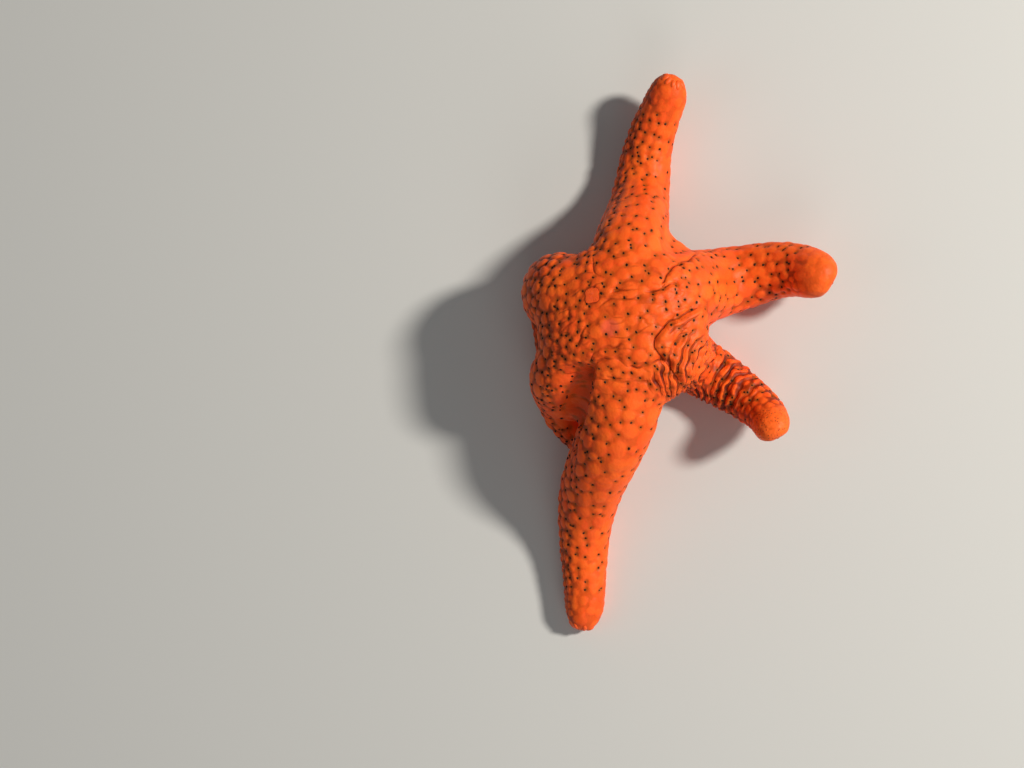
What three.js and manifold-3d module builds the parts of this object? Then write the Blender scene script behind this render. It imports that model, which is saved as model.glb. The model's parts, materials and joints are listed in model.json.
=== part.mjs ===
// A small six-armed tropical starfish, life size. It stands humped: the disc is held up, the arms
// come down from it to the floor, and three of them lift their tips again.
// Millimetres and degrees, +Z up. The origin is on the floor, under the middle of the animal's box.

import * as THREE from 'three';
import { mergeVertices } from 'three/addons/utils/BufferGeometryUtils.js';
import Module from 'manifold-3d';

// Driving dimensions

const section = { tall: 0.86, sole: 0.72 };   // arm's half height to its half width, and where its sole is cut flat
const disc = { height: 10, radius: 8.3, dome: 4.15 };
const madreporite = { x: -2.15, y: 2.98, height: 13.75, radius: 0.75, depth: 0.8 };
const mouth = { radius: 1.5, ceiling: 8.9, thickness: 0.7 };
const groove = { from: 1.2, short: 1.6, width: 0.3, roof: 0.55, depth: 0.42 };   // under each arm
const joint = { gap: 0.3 };   // clear space between neighbouring solids
const floor = { bite: 0.12, size: 200, depth: 20 };   // the soles are trimmed level by this much

// Each arm leaves the disc's centre at its heading and turns by each bend between two distances along it.
// It drops to the floor over one stretch, and its tip rises over the last one.
const arms = [
  {
    name: 'arm_1', length: 29.6, heading: 85.9, base: 4.35, tip: 1.9, cap: 1.35, swell: 0.1,
    bends: [{ from: 4, to: 14, turn: 7.4 }, { from: 14, to: 27, turn: -34 }],
    drop: { from: 5, to: 19.2 }, lift: { from: 18.8, rise: 4.2, power: 1.5 }, cuts: [9.2, 16, 22.5],
  },
  {
    name: 'arm_2', length: 26.2, heading: 32.9, base: 4.6, tip: 2.25, cap: 1.2, swell: 0.15,
    bends: [{ from: 4, to: 16, turn: -20.5 }, { from: 16, to: 26, turn: -42 }],
    drop: { from: 3, to: 15.5 }, lift: { from: 15.5, rise: 5.6, power: 1.7 }, cuts: [7.6, 13.8, 19.8],
  },
  {
    name: 'arm_3', length: 24.9, heading: -30.5, base: 4.4, tip: 1.75, cap: 1.25, swell: 0,
    bends: [{ from: 6, to: 24, turn: -5 }, { from: 18.5, to: 24, turn: -28 }],
    drop: { from: 3, to: 13.5 }, lift: { from: 14.2, rise: 6.2, power: 1.8 }, cuts: [7.2, 12.8, 18.6],
  },
  {
    name: 'arm_4', length: 33.7, heading: -88.3, base: 4.35, tip: 1.85, cap: 1.4, swell: 0.35,
    bends: [{ from: 3, to: 12, turn: -31.4 }, { from: 14, to: 28, turn: 30.4 }, { from: 29, to: 33.7, turn: -13 }],
    drop: { from: 6, to: 26 }, lift: { from: 33, rise: 0, power: 1 }, cuts: [9.4, 17.5, 25.6],
  },
  {
    name: 'arm_5', length: 23.5, heading: -140.5, base: 4.6, tip: 1.8, cap: 1.2, swell: 0.55,
    bends: [{ from: 5, to: 10, turn: 17 }, { from: 10, to: 18.5, turn: 80 }],
    drop: { from: 4.8, to: 16.8 }, lift: { from: 23, rise: 0, power: 1 }, cuts: [9.0, 13.6, 18.4],
  },
  {
    name: 'arm_6', length: 21.7, heading: 149.5, base: 4.65, tip: 1.8, cap: 1.2, swell: 0.6,
    bends: [{ from: 5, to: 9, turn: 26 }, { from: 9, to: 15.5, turn: 92 }],
    drop: { from: 5, to: 16.5 }, lift: { from: 21.5, rise: 0, power: 1 }, cuts: [7.6, 12.4, 17.2],
  },
];

// The folds of body wall between arms 1 and 2 and between arms 2 and 3, each made as a short arm
const webs = [
  {
    length: 11.2, heading: 62.5, base: 3.6, tip: 2.1, cap: 1, swell: 0,
    bends: [], drop: { from: 3, to: 18 }, lift: { from: 9, rise: 0, power: 1 },
  },
  {
    length: 10.8, heading: -2, base: 4.2, tip: 3.1, cap: 0.9, swell: 0,
    bends: [], drop: { from: 0, to: 12.5 }, lift: { from: 10, rise: 0, power: 1 },
  },
];

const taper = 1.3;         // above 1 the arms narrow fastest near the disc
const steepest = 0.985;    // sine of the steepest slope an arm takes
const lengths = ['base', 'middle', 'tip'];

// Fineness of the faceted solids

const around = 16;
const ringStep = 1.4;
const capRings = 3;
const pathStep = 0.1;

// Colours of the body wall, from the disc outwards, and of the small parts

const skinColours = { disc: 0xee5a1a, base: 0xf0601c, middle: 0xee5616, tip: 0xf26a24 };
const madreporiteColour = 0xf5813f;
const mouthColour = 0xf0a070;

const wasm = await Module();
wasm.setup();

// Solids from three.js geometry

function solidOf(geometry) {
  geometry.deleteAttribute('normal');
  geometry.deleteAttribute('uv');
  const merged = mergeVertices(geometry);
  const index = merged.index.array;
  const triangles = [];
  for (let i = 0; i < index.length; i += 3) {
    const [a, b, c] = [index[i], index[i + 1], index[i + 2]];
    if (a !== b && b !== c && c !== a) triangles.push(a, b, c);
  }
  const mesh = new wasm.Mesh({
    numProp: 3,
    vertProperties: new Float32Array(merged.attributes.position.array),
    triVerts: new Uint32Array(triangles),
  });
  return new wasm.Manifold(mesh);
}

function geometryOf(solid) {
  const mesh = solid.getMesh();
  const geometry = new THREE.BufferGeometry();
  geometry.setAttribute('position', new THREE.BufferAttribute(new Float32Array(mesh.vertProperties), 3));
  geometry.setIndex(new THREE.BufferAttribute(new Uint32Array(mesh.triVerts), 1));
  geometry.computeVertexNormals();
  return geometry;
}

const joined = (solids) => solids.reduce((whole, solid) => whole.add(solid));

// The body without the slivers of no volume that crowded roots can leave inside it
const filled = (solid) => solid.decompose().reduce((most, body) => (body.volume() > most.volume() ? body : most));

// The arm's shape along its length

function girth(arm, s) {
  const share = THREE.MathUtils.clamp(s / arm.length, 0, 1);
  return arm.tip + (arm.base - arm.tip) * (1 - share) ** taper + arm.swell * Math.sin(Math.PI * share) ** 2;
}

function halfWidth(arm, s) {
  const cap = arm.cap * arm.tip;
  const past = Math.max(0, s - (arm.length - cap)) / cap;
  return girth(arm, s) * Math.sqrt(Math.max(0, 1 - past * past));
}

function centreHeight(arm, s) {
  const soleDepth = section.sole * section.tall;
  const arch = disc.height - soleDepth * arm.base;
  const down = THREE.MathUtils.smoothstep(s, arm.drop.from, arm.drop.to);
  const raised = Math.max(0, s - arm.lift.from) / (arm.length - arm.lift.from);
  return soleDepth * girth(arm, s) + arch * (1 - down) + arm.lift.rise * raised ** arm.lift.power;
}

function direction(arm, s) {
  let heading = arm.heading;
  for (const bend of arm.bends) heading += bend.turn * THREE.MathUtils.smoothstep(s, bend.from, bend.to);
  const before = Math.max(0, s - pathStep / 2);
  const after = Math.min(arm.length, s + pathStep / 2);
  const slope = (centreHeight(arm, after) - centreHeight(arm, before)) / (after - before);
  const climb = THREE.MathUtils.clamp(slope, -steepest, steepest);
  const level = Math.sqrt(1 - climb * climb);
  const turned = THREE.MathUtils.degToRad(heading);
  return new THREE.Vector3(level * Math.cos(turned), level * Math.sin(turned), climb);
}

function centreline(arm) {
  const steps = Math.ceil(arm.length / pathStep);
  const step = arm.length / steps;
  const points = [];
  let [x, y] = [0, 0];
  for (let i = 0; i <= steps; i++) {
    points.push(new THREE.Vector3(x, y, centreHeight(arm, i * step)));
    const along = direction(arm, i * step);
    x += along.x * step;
    y += along.y * step;
  }
  return { points, step };
}

// A point in the arm's section: so far across it and so far up from its centreline
function placed(arm, s, across, up) {
  const { points, step } = arm.path;
  const i = Math.min(points.length - 2, Math.max(0, Math.floor(s / step)));
  const centre = points[i].clone().lerp(points[i + 1], s / step - i);
  const along = direction(arm, s);
  const upright = new THREE.Vector3(0, 0, 1).addScaledVector(along, -along.z).normalize();
  const sideways = along.clone().cross(upright);
  return centre.addScaledVector(sideways, across).addScaledVector(upright, up);
}

// One stretch of an arm: a turned shape bent along the centreline, with its sole flattened
function stretch(arm, from, to, margin = 0) {
  const roundFrom = arm.length - arm.cap * arm.tip;
  const straightTo = Math.min(to, roundFrom);
  const rings = Math.ceil((straightTo - from) / ringStep);
  const stations = [];
  for (let i = 0; i <= rings; i++) stations.push(from + ((straightTo - from) * i) / rings);
  if (to > roundFrom) {
    for (let i = 1; i <= capRings; i++) {
      stations.push(roundFrom + (to - roundFrom) * Math.sin((Math.PI / 2) * (i / capRings)));
    }
  }
  const profile = stations.map((s) => new THREE.Vector2(halfWidth(arm, s) + margin, s));
  profile.unshift(new THREE.Vector2(0, from));
  if (profile.at(-1).x > 0) profile.push(new THREE.Vector2(0, to));
  const geometry = new THREE.LatheGeometry(profile, around);
  const position = geometry.attributes.position;
  for (let i = 0; i < position.count; i++) {
    const s = position.getY(i);
    const lowest = -section.sole * section.tall * (halfWidth(arm, s) + margin);
    const up = Math.max(lowest, section.tall * position.getZ(i));
    const point = placed(arm, s, position.getX(i), up);
    position.setXYZ(i, point.x, point.y, point.z);
  }
  return solidOf(geometry);
}

// The groove that runs along the underside of an arm, from the mouth almost to the tip
function underGroove(arm) {
  const to = arm.length - groove.short;
  const steps = Math.ceil((to - groove.from) / ringStep);
  const geometry = new THREE.BoxGeometry(1, 1, 1, 1, steps, 1);
  const position = geometry.attributes.position;
  for (let i = 0; i < position.count; i++) {
    const s = groove.from + (position.getY(i) + 0.5) * (to - groove.from);
    const half = halfWidth(arm, s);
    const sole = -section.sole * section.tall * half;
    const isRoof = position.getZ(i) > 0;
    const across = 2 * position.getX(i) * groove.width * half * (isRoof ? groove.roof : 1);
    const up = isRoof ? sole + groove.depth * half : sole - groove.depth * half;
    const point = placed(arm, s, across, up);
    position.setXYZ(i, point.x, point.y, point.z);
  }
  return solidOf(geometry);
}

// The disc and what sits in it

function discBody() {
  const dome = new THREE.SphereGeometry(disc.radius, 1.5 * around, 0.75 * around);
  dome.rotateX(Math.PI / 2);
  dome.scale(1, 1, disc.dome / disc.radius);
  dome.translate(0, 0, disc.height);
  const underside = disc.height - section.sole * disc.dome;
  const below = new THREE.BoxGeometry(floor.size, floor.size, floor.depth);
  below.translate(0, 0, underside - floor.depth / 2);
  const folds = webs.map((web) => stretch(web, 0, web.length));
  return joined([solidOf(dome).subtract(solidOf(below)), ...folds]);
}

// A low button turned about an upright axis, flat below and domed above, or the socket that clears it
function button(radius, from, to, x, y, clearance = 0) {
  const edge = radius + clearance;
  const dome = 0.3 * radius;
  const profile = [
    new THREE.Vector2(0, from - clearance),
    new THREE.Vector2(edge, from - clearance),
    new THREE.Vector2(edge, to - dome + clearance),
    new THREE.Vector2(0.7 * edge, to - 0.25 * dome + clearance),
    new THREE.Vector2(0, to + clearance),
  ];
  const geometry = new THREE.LatheGeometry(profile, around);
  geometry.rotateX(Math.PI / 2);
  geometry.translate(x, y, 0);
  return solidOf(geometry);
}

function madreporiteButton(clearance = 0) {
  const { x, y, height, radius, depth } = madreporite;
  return button(radius, height - depth, height, x, y, clearance);
}

function mouthButton(clearance = 0) {
  const bottom = mouth.ceiling - mouth.thickness - (clearance ? mouth.ceiling : 0);
  return button(mouth.radius, bottom, mouth.ceiling, 0, 0, clearance);
}

// The starfish

for (const arm of [...arms, ...webs]) arm.path = centreline(arm);

const ground = new THREE.BoxGeometry(floor.size, floor.size, floor.depth);
ground.translate(0, 0, floor.bite - floor.depth / 2);
const hollows = joined([solidOf(ground), mouthButton(joint.gap), ...arms.map(underGroove)]);
const half = joint.gap / 2;

function discPiece() {
  const roots = arms.map((arm) => stretch(arm, 0, arm.cuts[0] - half));
  const outer = arms.map((arm) => stretch(arm, arm.cuts[0] - half, arm.length, joint.gap));
  const core = joined([discBody(), ...roots]);
  return filled(core.subtract(joined(outer)).subtract(madreporiteButton(joint.gap)).subtract(hollows));
}

// An arm's length, cleared of the arm before it where the two crowd together at their roots
function armPiece(arm, i, before) {
  const from = arm.cuts[i] + half;
  const to = i + 1 < arm.cuts.length ? arm.cuts[i + 1] - half : arm.length;
  const neighbour = stretch(before, 0, before.length, joint.gap);
  return stretch(arm, from, to).subtract(neighbour).subtract(hollows);
}

const pieces = [
  { name: 'disc', solid: discPiece(), colour: skinColours.disc },
  { name: 'madreporite', solid: madreporiteButton(), colour: madreporiteColour },
  { name: 'mouth', solid: mouthButton(), colour: mouthColour },
];
arms.forEach((arm, k) => {
  const before = arms[(k + arms.length - 1) % arms.length];
  lengths.forEach((length, i) => {
    pieces.push({ name: `${arm.name}_${length}`, solid: armPiece(arm, i, before), colour: skinColours[length] });
  });
});

// Move the box's middle over the origin and the trimmed soles down to the floor
const box = new THREE.Box3();
for (const piece of pieces) {
  piece.geometry = geometryOf(piece.solid);
  piece.geometry.computeBoundingBox();
  box.union(piece.geometry.boundingBox);
}
const middle = box.getCenter(new THREE.Vector3());

const starfish = new THREE.Group();
for (const { name, geometry, colour } of pieces) {
  geometry.translate(-middle.x, -middle.y, -floor.bite);
  const material = new THREE.MeshStandardMaterial({ color: colour, roughness: 0.5, metalness: 0 });
  const mesh = new THREE.Mesh(geometry, material);
  mesh.name = name;
  starfish.add(mesh);
}

export default starfish;
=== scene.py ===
import itertools
import json
import math
import random
from functools import partial

import bmesh
import bpy
import numpy as np
from mathutils import Matrix, Vector, noise
from mathutils.bvhtree import BVHTree
from mathutils.kdtree import KDTree

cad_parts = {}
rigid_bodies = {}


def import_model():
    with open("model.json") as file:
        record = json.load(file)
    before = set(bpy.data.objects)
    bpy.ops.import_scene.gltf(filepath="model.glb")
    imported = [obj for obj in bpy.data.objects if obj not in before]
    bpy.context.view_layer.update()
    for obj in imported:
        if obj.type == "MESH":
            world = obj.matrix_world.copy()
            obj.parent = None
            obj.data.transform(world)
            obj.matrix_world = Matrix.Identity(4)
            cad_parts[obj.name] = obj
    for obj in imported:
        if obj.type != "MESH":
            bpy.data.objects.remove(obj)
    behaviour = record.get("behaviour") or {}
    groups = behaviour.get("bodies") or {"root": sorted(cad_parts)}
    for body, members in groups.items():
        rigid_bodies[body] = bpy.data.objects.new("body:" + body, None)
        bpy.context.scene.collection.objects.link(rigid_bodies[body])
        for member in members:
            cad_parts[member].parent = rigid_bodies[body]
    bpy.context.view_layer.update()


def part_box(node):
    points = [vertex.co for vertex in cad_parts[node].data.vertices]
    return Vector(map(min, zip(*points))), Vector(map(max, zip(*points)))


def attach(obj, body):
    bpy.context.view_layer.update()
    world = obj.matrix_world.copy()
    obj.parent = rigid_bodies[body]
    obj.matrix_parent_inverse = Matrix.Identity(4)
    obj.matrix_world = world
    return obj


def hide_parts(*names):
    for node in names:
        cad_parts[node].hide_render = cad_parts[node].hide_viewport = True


# A small six-armed tropical starfish, life size. Shapes are worked out in millimetres and degrees
# from the disc's centre, with z up from the floor, and each finished mesh goes to metres in the frame.

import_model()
random.seed(11)

mm = 0.001
mouthLow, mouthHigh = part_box("mouth")
discCentre = (mouthLow + mouthHigh) / 2
toFrame = Matrix.Translation((discCentre.x, discCentre.y, 0)) @ Matrix.Scale(mm, 4)
world = bpy.context.scene.collection.objects
print("frame loaded, disc's centre at", [round(value / mm, 2) for value in discCentre[:2]])


# The body's form. An arm's section stands tall half widths up and is cut flat sole of that below

form = {
    "tall": 0.86, "sole": 0.72, "taper": 1.3, "steepest": 0.985, "bite": 0.12,
    "discHeight": 10, "discRadius": 8.3, "discDome": 4.15,
    "around": 32, "ringStep": 0.4, "pathStep": 0.1,
    "voxel": 0.38, "smoothings": 9, "swollen": 0.06,
}

# Each arm: how far it reaches, its heading, its half width at base and tip, how long its rounded end is
# in those of the tip, its bends (from, to, turn), the stretch over which it comes down to the floor, and
# how its tip lifts (from, rise, power)
arms = [
    {"name": "arm_1", "length": 29.6, "heading": 85.9, "base": 4.35, "tip": 1.9, "cap": 1.35, "swell": 0.1,
     "bends": [(4, 14, 7.4), (14, 27, -34)], "drop": (5, 19.2), "lift": (18.8, 4.2, 1.5)},
    {"name": "arm_2", "length": 26.2, "heading": 32.9, "base": 4.6, "tip": 2.25, "cap": 1.2, "swell": 0.15,
     "bends": [(4, 16, -20.5), (16, 26, -42)], "drop": (3, 15.5), "lift": (15.5, 5.6, 1.7)},
    {"name": "arm_3", "length": 24.9, "heading": -30.5, "base": 4.4, "tip": 1.75, "cap": 1.25, "swell": 0,
     "bends": [(6, 24, -5), (18.5, 24, -28)], "drop": (3, 13.5), "lift": (14.2, 6.2, 1.8)},
    {"name": "arm_4", "length": 33.7, "heading": -88.3, "base": 4.35, "tip": 1.85, "cap": 1.4, "swell": 0.35,
     "bends": [(3, 12, -31.4), (14, 28, 30.4), (29, 33.7, -13)], "drop": (6, 26), "lift": (33, 0, 1)},
    {"name": "arm_5", "length": 23.5, "heading": -140.5, "base": 4.6, "tip": 1.8, "cap": 1.2, "swell": 0.55,
     "bends": [(5, 10, 17), (10, 18.5, 80)], "drop": (4.8, 16.8), "lift": (23, 0, 1)},
    {"name": "arm_6", "length": 21.7, "heading": 149.5, "base": 4.65, "tip": 1.8, "cap": 1.2, "swell": 0.6,
     "bends": [(5, 9, 26), (9, 15.5, 92)], "drop": (5, 16.5), "lift": (21.5, 0, 1)},
]

# The folds of body wall between arms 1 and 2 and between arms 2 and 3
webs = [
    {"length": 11.2, "heading": 62.5, "base": 3.6, "tip": 2.1, "cap": 1, "swell": 0,
     "bends": [], "drop": (3, 18), "lift": (9, 0, 1)},
    {"length": 10.8, "heading": -2, "base": 4.2, "tip": 3.1, "cap": 0.9, "swell": 0,
     "bends": [], "drop": (0, 12.5), "lift": (10, 0, 1)},
]


def ease(start, end, at):
    t = np.clip((at - start) / (end - start), 0, 1)
    return t * t * (3 - 2 * t)


def girth(arm, s):
    share = np.clip(s / arm["length"], 0, 1)
    slim = arm["tip"] + (arm["base"] - arm["tip"]) * (1 - share) ** form["taper"]
    return slim + arm["swell"] * np.sin(np.pi * share) ** 2


def halfWidth(arm, s):
    cap = arm["cap"] * arm["tip"]
    past = np.maximum(0, s - (arm["length"] - cap)) / cap
    return girth(arm, s) * np.sqrt(np.maximum(0, 1 - past ** 2))


def centreHeight(arm, s):
    soleDepth = form["sole"] * form["tall"]
    arch = form["discHeight"] - soleDepth * arm["base"]
    liftFrom, rise, power = arm["lift"]
    raised = np.maximum(0, s - liftFrom) / (arm["length"] - liftFrom)
    down = 1 - ease(*arm["drop"], s)
    return soleDepth * girth(arm, s) + arch * down + rise * raised ** power - form["bite"]


# Tables along the arm's centreline: points, directions and half widths every pathStep
def layPath(arm):
    steps = math.ceil(arm["length"] / form["pathStep"])
    step = arm["length"] / steps
    s = np.arange(steps + 1) * step
    before, after = np.maximum(0, s - step / 2), np.minimum(arm["length"], s + step / 2)
    slope = (centreHeight(arm, after) - centreHeight(arm, before)) / (after - before)
    climb = np.clip(slope, -form["steepest"], form["steepest"])
    heading = np.full(len(s), float(arm["heading"]))
    for start, end, turn in arm["bends"]:
        heading += turn * ease(start, end, s)
    heading = np.radians(heading)
    level = np.sqrt(1 - climb ** 2)
    along = np.stack([level * np.cos(heading), level * np.sin(heading), climb], 1)
    plan = np.vstack([[0, 0], np.cumsum(along[:-1, :2] * step, 0)])
    upright = np.array([0, 0, 1]) - along * along[:, 2:]
    upright /= np.linalg.norm(upright, axis=1)[:, None]
    arm.update(
        step=step, s=s, along=along, upright=upright, sideways=np.cross(along, upright),
        centre=np.column_stack([plan, centreHeight(arm, s)]), half=halfWidth(arm, s),
    )


# A table's value between its steps
def along(arm, field, s):
    table = arm[field]
    place = np.clip(np.asarray(s, float) / arm["step"], 0, len(table) - 1.001)
    low = np.floor(place).astype(int)
    part = place - low
    if table.ndim > 1:
        part = part[..., None]
    return table[low] * (1 - part) + table[low + 1] * part


# A point in the arm's section: so far across it and so far up from its centreline
def placed(arm, s, across, up):
    across, up = np.asarray(across)[..., None], np.asarray(up)[..., None]
    return along(arm, "centre", s) + along(arm, "sideways", s) * across + along(arm, "upright", s) * up


for arm in arms + webs:
    layPath(arm)


# Draws the face that ends a tube out into a new ring. The tube's first face stays, to close it
def extrudeEnd(bm, end, isFirst):
    grown = bmesh.ops.extrude_face_region(bm, geom=[end], use_keep_orig=isFirst)["geom"]
    verts = [item for item in grown if isinstance(item, bmesh.types.BMVert)]
    return verts, next(item for item in grown if isinstance(item, bmesh.types.BMFace))


# One closed tube, drawn out straight ring by ring and then laid along the centreline
def addTube(bm, arm):
    rings = math.ceil(arm["length"] / form["ringStep"])
    step = arm["length"] / rings
    start = bmesh.ops.create_circle(bm, cap_ends=True, segments=form["around"], radius=1)["verts"]
    made, end = list(start), start[0].link_faces[0]
    for number in range(rings):
        verts, end = extrudeEnd(bm, end, number == 0)
        bmesh.ops.translate(bm, verts=verts, vec=(0, 0, step))
        made += verts
    table = np.array([vert.co for vert in made])
    half = halfWidth(arm, table[:, 2])
    up = np.maximum(form["tall"] * half * table[:, 1], -form["sole"] * form["tall"] * half)
    for vert, point in zip(made, placed(arm, table[:, 2], half * table[:, 0], up)):
        vert.co = point


def addDome(bm):
    sphere = bmesh.ops.create_uvsphere(bm, u_segments=48, v_segments=24, radius=form["discRadius"])["verts"]
    bmesh.ops.scale(bm, verts=sphere, vec=(1, 1, form["discDome"] / form["discRadius"]))
    for vert in sphere:
        vert.co.z = max(vert.co.z, -form["sole"] * form["discDome"]) + form["discHeight"] - form["bite"]


def meshOf(bm, name):
    mesh = bpy.data.meshes.new(name)
    bm.to_mesh(mesh)
    bm.free()
    return mesh


def objectOf(bm, name):
    piece = bpy.data.objects.new(name, meshOf(bm, name))
    world.link(piece)
    return piece


# A piece worked out in millimetres, set in the frame
def pieceOf(bm, name):
    piece = objectOf(bm, name)
    piece.data.transform(toFrame)
    piece.data.shade_smooth()
    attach(piece, "root")
    return piece


def arrayOf(mesh, field):
    values = np.empty(len(mesh.vertices) * 3, np.float32)
    mesh.vertices.foreach_get(field, values)
    return values.reshape(-1, 3).astype(float)


# The disc, the arms and the webs run into one wall, with the corners between them filled a little
def bareWall():
    bm = bmesh.new()
    for arm in arms + webs:
        addTube(bm, arm)
    addDome(bm)
    bmesh.ops.recalc_face_normals(bm, faces=bm.faces)
    rough = objectOf(bm, "rough")
    remesh = rough.modifiers.new("remesh", "REMESH")
    remesh.mode, remesh.voxel_size = "VOXEL", form["voxel"]
    smooth = rough.modifiers.new("smooth", "SMOOTH")
    smooth.factor, smooth.iterations = 0.5, form["smoothings"]
    finer = rough.modifiers.new("finer", "SUBSURF")
    finer.levels = finer.render_levels = 1
    mesh = bpy.data.meshes.new_from_object(rough.evaluated_get(bpy.context.evaluated_depsgraph_get()))
    bpy.data.objects.remove(rough)
    return mesh


wallMesh = bareWall()
wall = arrayOf(wallMesh, "co")
outward = arrayOf(wallMesh, "normal")
wall += outward * form["swollen"]
faces = [tuple(face.vertices) for face in wallMesh.polygons]
wallTree = BVHTree.FromPolygons([tuple(point) for point in wall], faces)
print("wall:", len(wall), "points,", len(faces), "faces")


# Where each point of the wall lies: its arm, how far along, across and up from the centreline
def locate(points):
    leastHalf, stride = 0.3, 3
    best = np.full(len(points), np.inf)
    found = {name: np.zeros(len(points)) for name in ("arm", "s", "across", "up", "half")}
    for number, arm in enumerate(arms):
        centre = arm["centre"][::stride]
        gap = (points ** 2).sum(1)[:, None] + (centre ** 2).sum(1) - 2 * points @ centre.T
        nearest = gap.argmin(1) * stride
        offset = points - arm["centre"][nearest]
        s = np.clip(arm["s"][nearest] + (offset * arm["along"][nearest]).sum(1), 0, arm["length"])
        half = np.maximum(along(arm, "half", s), leastHalf)
        offset = points - along(arm, "centre", s)
        ratio = np.linalg.norm(offset, axis=1) / half
        closer = ratio < best
        best[closer] = ratio[closer]
        found["arm"][closer] = number
        found["s"][closer] = s[closer]
        found["half"][closer] = half[closer]
        found["across"][closer] = (offset * along(arm, "sideways", s)).sum(1)[closer]
        found["up"][closer] = (offset * along(arm, "upright", s)).sum(1)[closer]
    found["arm"] = found["arm"].astype(int)
    found["angle"] = np.degrees(np.arctan2(found["across"], found["up"] / form["tall"]))
    found["fromTip"] = np.array([arm["length"] for arm in arms])[found["arm"]] - found["s"]
    return found


spot = locate(wall)
planRadius = np.hypot(wall[:, 0], wall[:, 1])

# The madreporite, a low grooved plate on the disc. The skin is pressed flat under it, and bedAway tells
# how far each point is from its middle, in its own radii
madreporite = {
    "x": -2.15, "y": 2.98, "radius": 0.72, "sides": 4, "corner": 0.12, "lopsided": 0.03, "proud": 0.02,
    # outline is the width of the line of painted shade round the plate
    "sunk": 0.04, "thick": 0.3, "rings": 9, "grooves": 22, "grooveDeep": 0.013, "outline": 0.16,
}
bedAway = np.hypot(wall[:, 0] - madreporite["x"], wall[:, 1] - madreporite["y"]) / madreporite["radius"]
bedShare = (1 - ease(1.0, 1.7, bedAway)) * (wall[:, 2] > form["discHeight"])
bedFacing = outward[bedShare > 0].mean(0)
bedFacing /= np.linalg.norm(bedFacing)
bedMiddle = wall[bedShare > 0.9].mean(0)


# The limy plates. Each arm has rows of them of several kinds, at set angles round it from 0 on top

# relief is a plate's height, and crisp runs from 0, a soft bump, to 1, a flat back with a steep rim.
# dark is how much painted shade darkens the gaps round it, and pores how likely they are to hold pores
plateKinds = {
    "smooth": {"relief": 0.07, "crisp": 0.0, "dark": 0.0, "pores": 0.22},
    "plain": {"relief": 0.085, "crisp": 0.0, "dark": 0.0, "pores": 1.0},
    "scaly": {"relief": 0.16, "crisp": 0.32, "dark": 0.6, "pores": 0.9},
    "beaded": {"relief": 0.17, "crisp": 0.37, "dark": 0.85, "pores": 0.7},
    "squeezed": {"relief": 0.12, "crisp": 0.4, "dark": 0.6, "pores": 0.5},
    "broad": {"relief": 0.07, "crisp": 1.0, "dark": 0.25, "pores": 0.4},
    "low": {"relief": 0.12, "crisp": 0.4, "dark": 0.1, "pores": 0},
}
kindNames = list(plateKinds)
# each row's angle and the spacing along it
plateRows = {
    "arm_1": {
        "plain": [(-110, 1.1), (-39, 1.25), (-19, 1.3), (3, 1.5), (27, 1.4), (110, 1.5)],
        "smooth": [(54, 1.8), (84, 1.8)],
        "scaly": [(-57, 1.15)],
        "beaded": [(-91, 1.1), (-74, 1.1)],
        "low": [(-148, 0.9), (-130, 1), (134, 1.2), (156, 0.9)],
    },
    "arm_2": {
        "plain": [(-103, 1.3), (-76, 1.5), (-50, 1.4), (-25, 1.4), (0, 1.5), (24, 1.3), (72, 1.3), (98, 1.3)],
        "scaly": [(48, 1.3)],
        "low": [(-154, 0.9), (-130, 1.1), (126, 1.1), (152, 0.9)],
    },
    "arm_3": {
        "plain": [(-108, 1.1), (108, 1.1)],
        "squeezed": [(-30, 1.1), (0, 1.1), (30, 1.1), (58, 1.1)],
        "beaded": [(-82, 1.1), (-57, 1.1), (84, 1.1)],
        "low": [(-158, 0.9), (-134, 1), (134, 1), (158, 0.9)],
    },
    "arm_4": {
        "plain": [(-125, 1.3), (-4, 1.6), (19, 1.4), (40, 1.25), (118, 1.1)],
        "smooth": [(-98, 1.5), (-68, 1.9), (-34, 1.8)],
        "scaly": [(59, 1.15)],
        "beaded": [(77, 1.1), (95, 1.15)],
        "low": [(-148, 1), (142, 1), (162, 0.9)],
    },
    "arm_5": {
        "plain": [(-104, 1.2), (-77, 1.3), (24, 1.2), (94, 1.2)],
        "smooth": [(-51, 1.4), (-25, 1.4), (0, 1.4)],
        "scaly": [(47, 1.15)],
        "beaded": [(70, 1.15)],
        "low": [(-155, 0.9), (-131, 1), (122, 1.1), (150, 0.9)],
    },
    "arm_6": {
        "plain": [(-104, 1.2), (-76, 1.3), (-49, 1.3), (108, 1.1)],
        "scaly": [(-24, 1.2), (0, 1.2), (22, 1.1)],
        "beaded": [(43, 1.05), (63, 1.05), (84, 1.1)],
        "low": [(-154, 0.9), (-130, 1), (132, 1), (155, 0.9)],
    },
}
plateLayout = {
    "rowsFrom": 6.2, "rowsShort": 1.3, "usualHalf": 3.2, "jitter": 0.26, "crowding": 0.62, "steepest": 0.5,
    "rowFit": (0.62, 1.08), "rowVary": (0.82, 1.2), "rowReach": 1.45, "rowHalfMost": 3.6, "leastWide": 0.3,
    "discLeast": 0.42, "discMost": 0.76, "discCrowding": 0.86, "warp": 0.13, "warpSize": 0.7,
    "tipBack": 1.45, "tipSize": 0.8, "tries": 60000, "lowSize": 0.75, "leftSize": 0.82,
    "cell": 2, "nearest": 8, "blend": 0.2,
    # broad flat plates on the disc: x, y, radius
    "broad": [(-2.3, 2.9, 0.85), (3.2, 0.3, 0.8), (2.5, -2.75, 0.72)],
}

plates = []
cells = {}


def cellOf(point, size):
    return tuple(math.floor(value / size) for value in point)


# What lies in the cells round a point
def nearby(point, cells, size):
    x, y, z = cellOf(point, size)
    for i, j, k in itertools.product((-1, 0, 1), repeat=3):
        yield from cells.get((x + i, y + j, z + k), ())


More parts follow.
